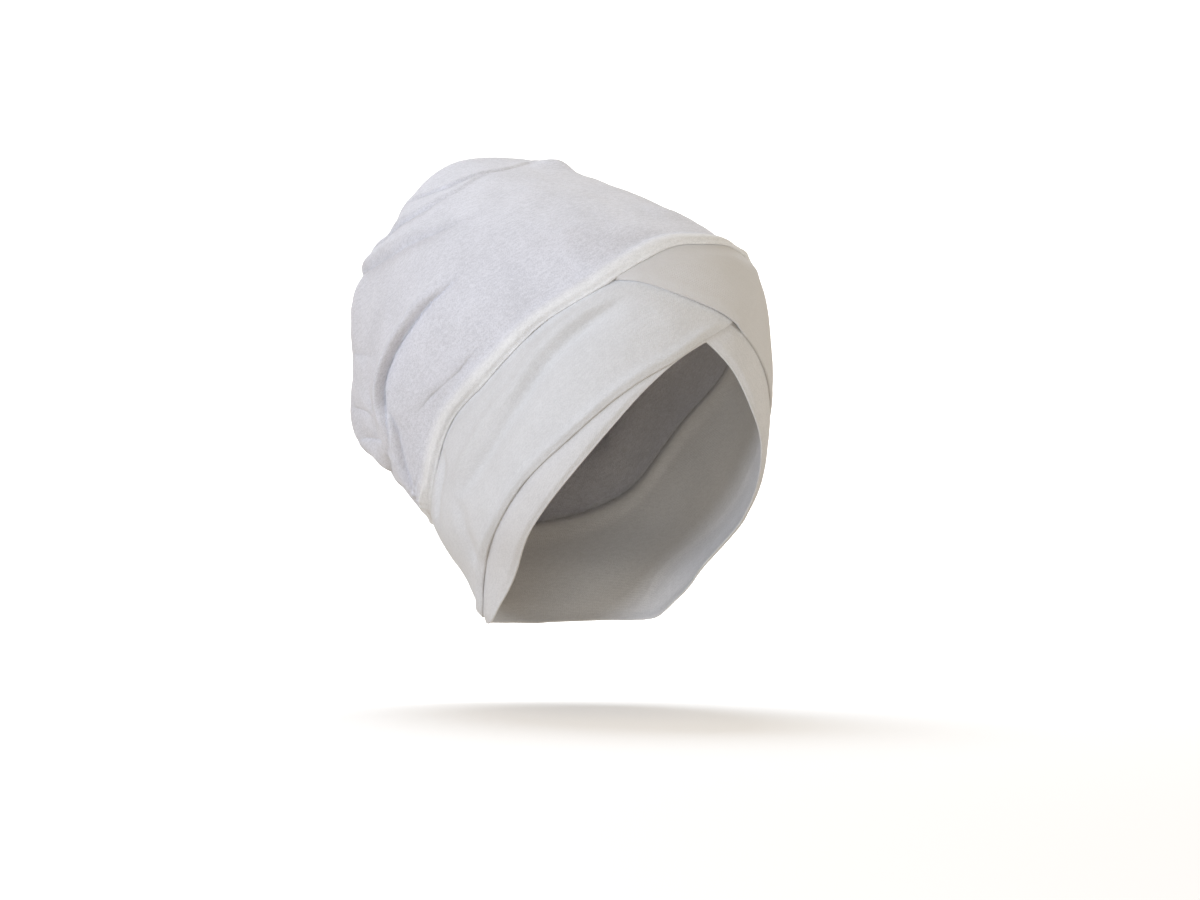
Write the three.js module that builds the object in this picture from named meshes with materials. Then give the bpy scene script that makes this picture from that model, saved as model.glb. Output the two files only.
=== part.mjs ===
// Hijab undercap: a deep, soft jersey crown sewn to two wide bands, which cross on the forehead
// over an under band. Millimetres, +Z up. The face opening looks along -Y and the wearer's right is -X.
// The origin is on the inside of the crown, where the top of the head bears on it.
import * as THREE from 'three';

// Height of the origin's bearing point below the tables' zero
const SEAT_RISE = 3.5;

// Cloth and layers
const CROWN_CLOTH = 1.2;
const BAND_CLOTH = 1.5;
const UNDER_CLOTH = 1.2;
const LAYER_GAP = 0.6;
const OVERLAP_LIFT = BAND_CLOTH + LAYER_GAP;
const UNDER_DEPTH = BAND_CLOTH + LAYER_GAP + 0.2;

// Seam between the crown and the bands
const TUCK_LEVEL = 0.02;
const SEAM_DIVE = 1.8;
const DIVE_REACH = 16;
const SEAT_FADE = 45;
const WELT_HEIGHT = 1.8;
const WELT_RISE = 3;
const WELT_FROM = 9;
const WELT_TO = 17;

// Band layout, in degrees round the head from the forehead, + towards the wearer's left
const TIP_ANGLE = 35;
const BACK_ANGLE = 179.7;
const LIFT_HOLD = 8;
const LIFT_FADE = 22;
const BAND_SLACK = 1.6;
const LEAST_WIDTH = 0.8;

// Gathers along the crown's nape edge
const GATHER_PITCH = 18;
const GATHER_HEIGHT = 3.2;
const GATHER_LEVEL = 0.17;
const GATHER_FROM = 112;
const GATHER_FULL = 135;

// Mesh steps
const FRONT_STEP = 6;
const BACK_STEP = 4.5;
const BAND_ROWS = 7;
const UNDER_ROWS = 6;
const ROW_CROWDING = 1.4;
const FOLD_STEPS = 48;
const CROWN_LEVELS = [
  0, 0.014, 0.034, 0.06, 0.09, 0.122, 0.155, 0.19, 0.225, 0.26, 0.295, 0.33, 0.365,
  0.405, 0.45, 0.5, 0.56, 0.62, 0.68, 0.74, 0.8, 0.87, 0.945, 1,
];

// Level sections of the head shape that the bands lie on
const SECTIONS = [
  { height: -240, halfWidth: 55.5, front: -33, back: 82, square: 2.0 },
  { height: -210, halfWidth: 59, front: -57, back: 104, square: 2.1 },
  { height: -180, halfWidth: 74, front: -79, back: 127, square: 2.2 },
  { height: -150, halfWidth: 78, front: -92, back: 129, square: 2.2 },
  { height: -115, halfWidth: 78.5, front: -97, back: 122, square: 2.2 },
  { height: -81, halfWidth: 75.5, front: -95, back: 115, square: 2.2 },
  { height: -50, halfWidth: 71, front: -90, back: 108, square: 2.2 },
  { height: -28, halfWidth: 59, front: -77, back: 95, square: 2.1 },
  { height: -10, halfWidth: 41, front: -49, back: 60, square: 2.0 },
];

// Heights of the crown seam and of the under band's edge, on each side of the head
const EDGES = [
  { angle: 0, rightSeam: -33.5, leftSeam: -33.5, rightEdge: -84, leftEdge: -84 },
  { angle: 12, rightSeam: -35.5, leftSeam: -33.2, rightEdge: -94.5, leftEdge: -100 },
  { angle: 24, rightSeam: -42.5, leftSeam: -34, rightEdge: -109.5, leftEdge: -120.5 },
  { angle: 36, rightSeam: -52, leftSeam: -38.5, rightEdge: -129.5, leftEdge: -136.5 },
  { angle: 50, rightSeam: -63, leftSeam: -48.5, rightEdge: -155.5, leftEdge: -161 },
  { angle: 65, rightSeam: -76, leftSeam: -65.5, rightEdge: -185, leftEdge: -186 },
  { angle: 79, rightSeam: -94, leftSeam: -88, rightEdge: -207.5, leftEdge: -213 },
  { angle: 90, rightSeam: -110.5, leftSeam: -107, rightEdge: -220.5, leftEdge: -223 },
  { angle: 104, rightSeam: -129, leftSeam: -128.5, rightEdge: -232, leftEdge: -232 },
  { angle: 120, rightSeam: -163, leftSeam: -163, rightEdge: -234.5, leftEdge: -234.5 },
  { angle: 135, rightSeam: -177, leftSeam: -177, rightEdge: -235, leftEdge: -235 },
  { angle: 155, rightSeam: -185, leftSeam: -185, rightEdge: -236, leftEdge: -236 },
  { angle: 180, rightSeam: -188, leftSeam: -188, rightEdge: -237, leftEdge: -237 },
];

// Hem heights of the two bands, by the angle towards each band's own side
const HEMS = [
  { angle: -36, right: -43, left: -51.5 },
  { angle: -25, right: -60, left: -53.5 },
  { angle: -12, right: -73, left: -59 },
  { angle: 0, right: -82, left: -65.5 },
  { angle: 12, right: -93.5, left: -74 },
  { angle: 25, right: -104, left: -87 },
  { angle: 36, right: -115.5, left: -100 },
  { angle: 50, right: -134, left: -118 },
  { angle: 65, right: -155, left: -141 },
  { angle: 78, right: -180.5, left: -168 },
  { angle: 90, right: -197.5, left: -187 },
  { angle: 104, right: -214, left: -206 },
  { angle: 112, right: -224, left: -219 },
  { angle: 122, right: -230, left: -228 },
  { angle: 140, right: -231, left: -231 },
  { angle: 180, right: -231, left: -231 },
];

// Leaning sections of the crown from the seam to its closed end: highest point, lowest point,
// half width and sideways shift
const CROWN = [
  { level: 0.2, topY: -59, topZ: -21.5, lowY: 151, lowZ: -166, halfWidth: 88.5, shift: -8, square: 2.3 },
  { level: 0.42, topY: -22, topZ: -8.5, lowY: 170, lowZ: -139, halfWidth: 88, shift: -11, square: 2.4 },
  { level: 0.64, topY: 26, topZ: 5.5, lowY: 178, lowZ: -101.5, halfWidth: 78.5, shift: -12.5, square: 2.4 },
  { level: 0.83, topY: 72, topZ: 17, lowY: 175, lowZ: -61.5, halfWidth: 59.5, shift: -14, square: 2.3 },
  { level: 0.95, topY: 101.5, topZ: 19.5, lowY: 161, lowZ: -30.5, halfWidth: 33, shift: -15, square: 2.2 },
  { level: 1, topY: 126, topZ: 7, lowY: 136, lowZ: -8, halfWidth: 20, shift: -15, square: 2.0 },
];

// Crown folds: a lip on one side of the line and a hollow on the other, each with its reach.
// The path runs through places given as angle and level.
const FOLDS = [
  { name: 'right roll', lip: 4, lipReach: 11, hollow: 3.5, reach: 14,
    path: [[-131, 0.15], [-121, 0.173], [-107.5, 0.283], [-91.5, 0.35], [-76, 0.345], [-60, 0.3]] },
  { name: 'right small roll', lip: 1.5, lipReach: 9, hollow: 1.5, reach: 10,
    path: [[-128, 0.125], [-119, 0.178], [-108, 0.184]] },
  { name: 'top low valley', lip: 1.5, lipReach: 12, hollow: 3, reach: 11,
    path: [[-118, 0.81], [-98, 0.718], [-77, 0.623], [-51, 0.508]] },
  { name: 'top middle valley', lip: 1.5, lipReach: 10, hollow: 4.5, reach: 11,
    path: [[-96, 0.82], [-75, 0.725], [-50, 0.662], [-31, 0.72]] },
  { name: 'top high valley', lip: 2.5, lipReach: 12, hollow: 2.5, reach: 11,
    path: [[-72, 0.84], [-54, 0.768], [-30, 0.735], [4, 0.79]] },
  { name: 'right side crease', lip: 0, lipReach: 10, hollow: 1.6, reach: 7,
    path: [[-82, 0.056], [-92, 0.075], [-102, 0.1]] },
  { name: 'nape tuck', lip: 1, lipReach: 12, hollow: 3, reach: 10,
    path: [[-160, 0.17], [-146, 0.185], [-134, 0.18], [-120, 0.16]] },
  { name: 'left roll', lip: 3.5, lipReach: 12, hollow: 3, reach: 14,
    path: [[64, 0.33], [82, 0.36], [100, 0.33], [114, 0.25], [130, 0.16]] },
  { name: 'left top valley', lip: 2, lipReach: 11, hollow: 2.5, reach: 11,
    path: [[32, 0.7], [58, 0.66], [86, 0.7]] },
];

// Soft swellings of the crown: place, height and radius
const SWELLINGS = [
  { name: 'front of the top', angle: 9, level: 0.77, height: 3.5, radius: 13 },
  { name: 'right of the top', angle: -40, level: 0.9, height: 3.5, radius: 20 },
  { name: 'right shoulder', angle: -110, level: 0.72, height: 2.5, radius: 18 },
  { name: 'right low pouch', angle: -136, level: 0.36, height: 4.5, radius: 19 },
  { name: 'left low pouch', angle: 134, level: 0.34, height: 4, radius: 24 },
];

// Soft valley pressed into the right band from the forehead to the jaw, as angle and height
const BAND_VALLEY = {
  depth: 1.4, reach: 11,
  path: [[-28, -55], [-48, -69], [-61.5, -87], [-71, -116.5], [-83, -142.5]],
};

const radians = THREE.MathUtils.degToRad;
const ramp = THREE.MathUtils.smoothstep;
const power = (value, exponent) => Math.sign(value) * Math.abs(value) ** exponent;
const hill = (distance, reach) => Math.exp(-((distance / reach) ** 2));

// A smooth value of one column at x; the rows of the table run upwards in its key column.
function read(table, key, column, x, levelEnds = false) {
  const last = table.length - 1;
  const at = THREE.MathUtils.clamp(x, table[0][key], table[last][key]);
  let i = 0;
  while (i < last - 1 && at > table[i + 1][key]) i += 1;
  const slope = (k) => {
    if (levelEnds && (k === 0 || k === last)) return 0;
    const low = table[Math.max(k - 1, 0)];
    const high = table[Math.min(k + 1, last)];
    return (high[column] - low[column]) / (high[key] - low[key]);
  };
  const step = table[i + 1][key] - table[i][key];
  const [from, to] = [table[i][column], table[i + 1][column]];
  return hermite(from, slope(i) * step, to, slope(i + 1) * step, (at - table[i][key]) / step);
}

function hermite(from, fromSlope, to, toSlope, t) {
  const rise = t * t * (3 - 2 * t);
  return from * (1 - rise) + to * rise + t * (1 - t) * (fromSlope * (1 - t) - toSlope * t);
}

const seamHeight = (angle) => (
  read(EDGES, 'angle', angle < 0 ? 'rightSeam' : 'leftSeam', Math.abs(angle), true)
);
const underEdge = (angle) => (
  read(EDGES, 'angle', angle < 0 ? 'rightEdge' : 'leftEdge', Math.abs(angle))
);
const rightHem = (angle) => read(HEMS, 'angle', 'right', -angle);
const leftHem = (angle) => read(HEMS, 'angle', 'left', angle);

// A point of the head shape at an angle and a height.
function headPoint(angle, height) {
  const part = (column) => read(SECTIONS, 'height', column, height);
  const exponent = 2 / part('square');
  const middle = (part('front') + part('back')) / 2;
  const halfDepth = (part('back') - part('front')) / 2;
  return new THREE.Vector3(
    part('halfWidth') * power(Math.sin(radians(angle)), exponent),
    middle - halfDepth * power(Math.cos(radians(angle)), exponent),
    height,
  );
}

// The crown's loop of points at row k: the seam itself, then the leaning sections.
function crownRow(k, angle) {
  if (k === 0) return headPoint(angle, seamHeight(angle));
  const row = CROWN[k - 1];
  const side = power(Math.sin(radians(angle)), 2 / row.square);
  const up = power(Math.cos(radians(angle)), 2 / row.square);
  return new THREE.Vector3(
    row.shift + row.halfWidth * side,
    (row.topY + row.lowY) / 2 + ((row.topY - row.lowY) / 2) * up,
    (row.topZ + row.lowZ) / 2 + ((row.topZ - row.lowZ) / 2) * up,
  );
}

// A point of the smooth crown, from level 0 at the seam to level 1 at its closed end.
function crownPoint(angle, level) {
  const levels = [0, ...CROWN.map((row) => row.level)];
  const last = CROWN.length;
  let i = 0;
  while (i < last - 1 && level > levels[i + 1]) i += 1;
  const step = levels[i + 1] - levels[i];
  const t = (level - levels[i]) / step;
  const slope = (k) => {
    const low = Math.max(k - 1, 0);
    const high = Math.min(k + 1, last);
    const rise = crownRow(high, angle).sub(crownRow(low, angle));
    return rise.multiplyScalar(step / (levels[high] - levels[low]));
  };
  const [from, to] = [crownRow(i, angle), crownRow(i + 1, angle)];
  const [fromSlope, toSlope] = [slope(i), slope(i + 1)];
  const along = (axis) => hermite(from[axis], fromSlope[axis], to[axis], toSlope[axis], t);
  return new THREE.Vector3(along('x'), along('y'), along('z'));
}

// The outward direction at each point of a grid; rows run up the cloth and columns run round the head.
function gridNormals(grid, ring) {
  const rows = grid.length;
  const columns = grid[0].length;
  return grid.map((row, i) => row.map((point, j) => {
    const left = ring ? (j + columns - 1) % columns : Math.max(j - 1, 0);
    const right = ring ? (j + 1) % columns : Math.min(j + 1, columns - 1);
    const round = row[right].clone().sub(row[left]);
    const up = grid[Math.min(i + 1, rows - 1)][j].clone().sub(grid[Math.max(i - 1, 0)][j]);
    return round.cross(up).normalize();
  }));
}

// Each grid point moved along its direction by distance(i, j).
function moved(grid, normals, distance) {
  return grid.map((row, i) => row.map((point, j) => (
    point.clone().addScaledVector(normals[i][j], distance(i, j))
  )));
}

// One closed wall between an outer and an inner grid; a tip closes the top row of a ring.
function wall(outer, inner, ring, tips) {
  const rows = outer.length;
  const columns = outer[0].length;
  const top = rows - 1;
  const points = [...outer.flat(), ...inner.flat(), ...(tips ?? [])];
  const at = (side, i, j) => (side * rows + i) * columns + (j % columns);
  const faces = [];
  const quad = (a, b, c, d) => faces.push(a, b, c, a, c, d);
  for (let j = 0; j < (ring ? columns : columns - 1); j += 1) {
    for (let i = 0; i < top; i += 1) {
      quad(at(0, i, j), at(0, i, j + 1), at(0, i + 1, j + 1), at(0, i + 1, j));
      quad(at(1, i, j), at(1, i + 1, j), at(1, i + 1, j + 1), at(1, i, j + 1));
    }
    quad(at(1, 0, j), at(1, 0, j + 1), at(0, 0, j + 1), at(0, 0, j));
    if (tips) {
      faces.push(at(0, top, j), at(0, top, j + 1), points.length - 2);
      faces.push(at(1, top, j + 1), at(1, top, j), points.length - 1);
    } else {
      quad(at(0, top, j), at(0, top, j + 1), at(1, top, j + 1), at(1, top, j));
    }
  }
  for (let i = 0; i < top && !ring; i += 1) {
    const end = columns - 1;
    quad(at(0, i, 0), at(0, i + 1, 0), at(1, i + 1, 0), at(1, i, 0));
    quad(at(0, i + 1, end), at(0, i, end), at(1, i, end), at(1, i + 1, end));
  }
  const geometry = new THREE.BufferGeometry().setFromPoints(points);
  geometry.setIndex(faces);
  geometry.computeVertexNormals();
  return geometry;
}

// Angles of the mesh columns round the whole head, finer over the back.
function columnAngles() {
  const angles = [];
  for (let angle = -180; angle < -90; angle += BACK_STEP) angles.push(angle);
  for (let angle = -90; angle < 90; angle += FRONT_STEP) angles.push(angle);
  for (let angle = 90; angle < 180; angle += BACK_STEP) angles.push(angle);
  return angles;
}

// How far the left band stands off at a height, to pass over the right band.
function overlapLift(angle, height) {
  const below = rightHem(angle) - height;
  const pastTip = Math.max(angle - TIP_ANGLE, 0) + Math.max(-TIP_ANGLE - angle, 0);
  return OVERLAP_LIFT * (1 - ramp(below, LIFT_HOLD, LIFT_FADE)) * (1 - ramp(pastTip, 4, 16));
}

// Where a point lies by a fold line: signed distance off the line, and the share along it.
function byLine(point, normal, line) {
  let nearest = 0;
  line.forEach((place, k) => {
    if (place.distanceToSquared(point) < line[nearest].distanceToSquared(point)) nearest = k;
  });
  const ahead = line[Math.min(nearest + 1, line.length - 1)];
  const behind = line[Math.max(nearest - 1, 0)];
  const away = point.clone().sub(line[nearest]);
  const across = normal.clone().cross(ahead.clone().sub(behind));
  return { distance: Math.sign(away.dot(across)) * away.length(), share: nearest / (line.length - 1) };
}

const endTaper = (share) => ramp(share, 0, 0.22) * (1 - ramp(share, 0.78, 1));

// Height of a fold at a point of the crown: a lip on one side of its line and a hollow on the other.
function foldHeight(fold, point, normal) {
  const { distance, share } = byLine(point, normal, fold.line);
  const beyond = Math.max(distance, 0) / fold.lipReach;
  const lip = fold.lip * beyond * Math.exp(1 - beyond);
  const hollow = fold.hollow * hill(distance, distance > 0 ? 0.4 * fold.reach : fold.reach);
  return (lip - hollow) * endTaper(share);
}

const foldLine = (points) => new THREE.CatmullRomCurve3(points).getPoints(FOLD_STEPS);
const crownFolds = FOLDS.map((fold) => (
  { ...fold, line: foldLine(fold.path.map(([angle, level]) => crownPoint(angle, level))) }
));
const swellings = SWELLINGS.map((row) => ({ ...row, centre: crownPoint(row.angle, row.level) }));
const bandValley = foldLine(BAND_VALLEY.path.map(([angle, height]) => headPoint(angle, height)));

// How far the bands sink towards the seam, so that the crown's edge lies nearly level with them.
const seamDive = (below) => SEAM_DIVE * (1 - ramp(below, 0, DIVE_REACH));

// Raised welt along the seam, by the distance from the seam.
const weltHeight = (off) => WELT_HEIGHT * ramp(off, 0, WELT_RISE) * (1 - ramp(off, WELT_FROM, WELT_TO));

// Gathers of the crown along the nape.
function gatherHeight(angle, level) {
  const share = ramp(Math.abs(angle), GATHER_FROM, GATHER_FULL) * (1 - ramp(level, 0, GATHER_LEVEL));
  return GATHER_HEIGHT * share * (0.5 + 0.5 * Math.cos(radians((angle * 360) / GATHER_PITCH)));
}

function crownGeometry() {
  const angles = columnAngles();
  const smooth = CROWN_LEVELS.map((level) => angles.map((angle) => crownPoint(angle, level)));
  const normals = gridNormals(smooth, true);
  const offSeam = angles.map((angle, j) => {
    let sum = 0;
    return smooth.map((row, i) => (i ? (sum += row[j].distanceTo(smooth[i - 1][j])) : 0));
  });
  const relief = (i, j) => {
    const off = offSeam[j][i];
    const lift = overlapLift(angles[j], seamHeight(angles[j]));
    const seat = (LAYER_GAP + CROWN_CLOTH + lift - SEAM_DIVE) * (1 - ramp(off, 0, SEAT_FADE));
    const gather = gatherHeight(angles[j], CROWN_LEVELS[i]);
    let height = seat + weltHeight(off) + gather;
    crownFolds.forEach((fold) => {
      height += foldHeight(fold, smooth[i][j], normals[i][j]);
    });
    swellings.forEach((row) => {
      height += row.height * hill(smooth[i][j].distanceTo(row.centre), row.radius);
    });
    return height;
  };
  const outer = moved(smooth, normals, relief);
  const inner = moved(outer, gridNormals(outer, true), () => -CROWN_CLOTH);
  const tips = [outer, inner].map((grid) => {
    const end = grid[grid.length - 1];
    return end.reduce((sum, point) => sum.add(point), new THREE.Vector3()).divideScalar(end.length);
  });
  return wall(outer, inner, true, tips);
}

// Band layer: rows from its hem up to the seam, and one more tucked under the crown.
function bandGeometry(angles, ring, rows, hem, cloth, standOff) {
  const grid = [];
  for (let i = 0; i <= rows; i += 1) {
    const share = (i / rows) ** ROW_CROWDING;
    grid.push(angles.map((angle) => {
      const low = Math.min(hem(angle), seamHeight(angle) - LEAST_WIDTH);
      return headPoint(angle, low + (seamHeight(angle) - low) * share);
    }));
  }
  grid.push(angles.map((angle) => crownPoint(angle, TUCK_LEVEL)));
  const normals = gridNormals(grid, ring);
  const stand = (i, j) => {
    const place = grid[Math.min(i, rows)][j];
    const share = Math.min(i / rows, 1);
    const below = seamHeight(angles[j]) - place.z;
    return standOff(angles[j], place, normals[i][j], share) - seamDive(below);
  };
  const outer = moved(grid, normals, stand);
  const inner = moved(grid, normals, (i, j) => stand(i, j) - cloth);
  return wall(outer, inner, ring);
}

const slack = (share) => BAND_SLACK * Math.sin(Math.PI * share);

function rightBandGeometry() {
  const between = columnAngles().filter((angle) => angle > -BACK_ANGLE && angle < TIP_ANGLE);
  const angles = [-BACK_ANGLE, ...between, TIP_ANGLE];
  const stand = (angle, point, normal, share) => {
    const { distance, share: along } = byLine(point, normal, bandValley);
    const valley = BAND_VALLEY.depth * hill(distance, BAND_VALLEY.reach) * endTaper(along);
    const uncovered = ramp(leftHem(angle) - point.z, 1, 15);
    return Math.max(slack(share) * uncovered - valley, 0);
  };
  return bandGeometry(angles, false, BAND_ROWS, rightHem, BAND_CLOTH, stand);
}

function leftBandGeometry() {
  const between = columnAngles().filter((angle) => angle > -TIP_ANGLE);
  const angles = [-TIP_ANGLE, ...between, BACK_ANGLE];
  const stand = (angle, point, normal, share) => (
    overlapLift(angle, point.z) + slack(share) * ramp(angle, 12, 40)
  );
  return bandGeometry(angles, false, BAND_ROWS, leftHem, BAND_CLOTH, stand);
}

function underBandGeometry() {
  return bandGeometry(columnAngles(), true, UNDER_ROWS, underEdge, UNDER_CLOTH, () => -UNDER_DEPTH);
}

const cap = new THREE.Group();
cap.name = 'hijab_undercap';

function addPiece(name, geometry, colour, roughness) {
  const material = new THREE.MeshStandardMaterial({ color: colour, roughness, metalness: 0 });
  const mesh = new THREE.Mesh(geometry, material);
  mesh.name = name;
  mesh.position.z = SEAT_RISE;
  cap.add(mesh);
}

addPiece('crown', crownGeometry(), 0xdcdbe1, 0.9);
addPiece('right_band', rightBandGeometry(), 0xdedcd8, 0.88);
addPiece('left_band', leftBandGeometry(), 0xdedbd5, 0.88);
addPiece('under_band', underBandGeometry(), 0xd8d4cf, 0.9);

export default cap;
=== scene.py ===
"""Hijab undercap: the finished jersey pieces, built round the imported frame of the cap.

Lengths in the tables are millimetres. Angles are degrees round the cap, 0 at its front and + towards
its left. Levels run up the crown, from 0 at its seam to 1 at its closed end.
"""

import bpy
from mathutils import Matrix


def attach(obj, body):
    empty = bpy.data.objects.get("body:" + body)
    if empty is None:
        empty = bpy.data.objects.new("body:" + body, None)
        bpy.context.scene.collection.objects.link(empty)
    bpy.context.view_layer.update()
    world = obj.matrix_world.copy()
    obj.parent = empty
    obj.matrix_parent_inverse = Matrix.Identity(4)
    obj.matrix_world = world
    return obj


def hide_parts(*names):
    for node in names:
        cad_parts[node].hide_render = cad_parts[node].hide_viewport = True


bl_info = {
    "name": "Hijab undercap",
    "version": (1, 0, 0),
    "blender": (4, 5, 0),
    "location": "View3D > Sidebar > Undercap",
    "description": "Builds a soft jersey undercap round its packed frame",
    "category": "Object",
}

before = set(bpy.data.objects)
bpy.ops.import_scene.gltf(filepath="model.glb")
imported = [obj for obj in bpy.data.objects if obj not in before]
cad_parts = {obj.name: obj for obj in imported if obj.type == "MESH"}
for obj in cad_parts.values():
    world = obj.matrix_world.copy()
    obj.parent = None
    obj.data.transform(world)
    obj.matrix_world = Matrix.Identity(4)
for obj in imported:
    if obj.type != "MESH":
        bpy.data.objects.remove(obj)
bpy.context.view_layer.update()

import math
from collections import namedtuple

import bpy
import numpy as np
from bpy.props import FloatProperty, FloatVectorProperty, PointerProperty
from mathutils import Vector

MM = 0.001
UV_NAME = "Cloth"

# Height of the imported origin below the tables' zero
SEAT_RISE = 3.5

# Layers of the bands, from the worn shape outwards
LAYER_GAP = 0.15
BAND_LAYER = 1.5
OVERLAP_LIFT = BAND_LAYER + LAYER_GAP
UNDER_DEPTH = BAND_LAYER + LAYER_GAP
LIFT_HOLD = 1
LIFT_FADE = 13
BAND_SLACK = 1.9
CROSSING_SLACK = 0.5
LEAST_STAND = -3.5
LEAST_WIDTH = 0.8

# Where the bands come free of each other: the depths below the left hem over which the right band
# does, and the angles over which the left band does
RIGHT_FREE = (1, 15)
LEFT_FREE = (12, 40)

# Ridge of the folded hems: its height on each band, its place above the hem, and its room to the seam
RIGHT_CREST = 1.6
LEFT_CREST = 0.4
CREST_PLACE = 4
CREST_REACH = 3
CREST_ROOM = (2, 12)

# Strip of the under band that shows below the hems, and its fill where the two hems part
STRIP_SHOWN = (1.5, 9)
STRIP_STAND = 1.2
CURL_DEPTH = 1.4
CURL_HEIGHT = 5
HEMS_APART = (4, 15)
FILL_HEIGHT = 0.35
FILL_REACH = 3.5

# Seam between the crown and the bands
TUCK_LEVEL = 0.02
SEAM_DIVE = 1.8
DIVE_REACH = 10
SEAT_FADE = 45
SEAT_CLOTH = 1.2

# Band ends: the crossing at the front and the join at the back
TIP_ANGLE = 35
TIP_FADE = 7
BACK_ANGLE = 179.7

# Mesh steps
CROWN_COLUMNS = 430
CROWN_ROWS = 182
CLOSING_ROWS = 9
LINING_STEP = 8
LINING_REACH = 3
BAND_STEP = 0.9
BAND_ROWS = 44
ROW_CROWDING = 1.3
EDGE_STEPS = 5
FAN_STEP = 0.6
DENSITY_STEPS = 4000

# Lines of folds: their points, how many steps a place may lie along from the nearest point, and the
# reach past which its whole distance counts as the distance off the line
LINE_STEPS = 260
MOST_ALONG = 0.6
FAR_FROM_LINE = 45

# Shortest length that still gives a direction
LEAST_LENGTH = 1e-9


def table(columns, *rows):
    """Named columns of a short table, one array each."""
    return dict(zip(columns.split(), np.array(rows, float).T))


# Level sections of the worn shape that the bands follow
SECTIONS = table(
    "height half_width front back square",
    (-240, 55.5, -33, 82, 2.0),
    (-210, 59, -57, 104, 2.1),
    (-180, 74, -79, 127, 2.2),
    (-150, 78, -92, 129, 2.2),
    (-115, 78.5, -97, 122, 2.2),
    (-81, 75.5, -95, 115, 2.2),
    (-50, 71, -90, 108, 2.2),
    (-28, 59, -77, 95, 2.1),
    (-10, 41, -49, 60, 2.0),
)

# Heights of the crown seam and of the under band's edge, on each side of the cap
EDGES = table(
    "angle right_seam left_seam right_edge left_edge",
    (0, -33.5, -33.5, -84, -84),
    (12, -35.5, -33.2, -94.5, -100),
    (24, -42.5, -34, -109.5, -120.5),
    (36, -52, -38.5, -129.5, -136.5),
    (50, -63, -48.5, -155.5, -161),
    (65, -76, -65.5, -185, -186),
    (79, -94, -88, -207.5, -213),
    (90, -110.5, -107, -220.5, -223),
    (104, -129, -128.5, -232, -232),
    (120, -163, -163, -234.5, -234.5),
    (135, -177, -177, -235, -235),
    (155, -185, -185, -236, -236),
    (180, -188, -188, -237, -237),
)

# Hem heights of the two bands, by the angle towards each band's own side
HEMS = table(
    "angle right left",
    (-36, -43, -51.5),
    (-25, -60, -53.5),
    (-12, -73, -59),
    (0, -82, -65.5),
    (12, -93.5, -74),
    (25, -104, -87),
    (36, -115.5, -100),
    (50, -134, -118),
    (65, -155, -141),
    (78, -180.5, -168),
    (90, -197.5, -187),
    (104, -214, -206),
    (112, -224, -219),
    (122, -230, -228),
    (140, -231, -231),
    (180, -231, -231),
)

# Leaning sections of the crown from the seam to its closed end
CROWN = table(
    "level top_y top_z low_y low_z half_width shift square",
    (0.2, -59, -21.5, 151, -166, 88.5, -8, 2.3),
    (0.42, -22, -8.5, 170, -139, 88, -11, 2.4),
    (0.64, 26, 5.5, 178, -101.5, 78.5, -12.5, 2.4),
    (0.83, 72, 17, 175, -61.5, 59.5, -14, 2.3),
    (0.95, 101.5, 19.5, 161, -30.5, 33, -15, 2.2),
    (1, 126, 7, 136, -8, 20, -15, 2.0),
)

# How closely the crown's columns and rows are set
COLUMN_DENSITY = table(
    "angle density",
    (-180, 0.9), (-140, 1.3), (-120, 1.7), (-95, 1.7), (-60, 1.4),
    (-20, 1.2), (15, 1.1), (40, 0.8), (180, 0.9),
)
LEVEL_DENSITY = table(
    "level density",
    (0, 3.0), (0.05, 2.2), (0.1, 1.6), (0.3, 1.5), (0.4, 0.9),
    (0.6, 0.9), (0.68, 1.3), (0.84, 1.3), (0.9, 0.9), (1, 0.8),
)

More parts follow.
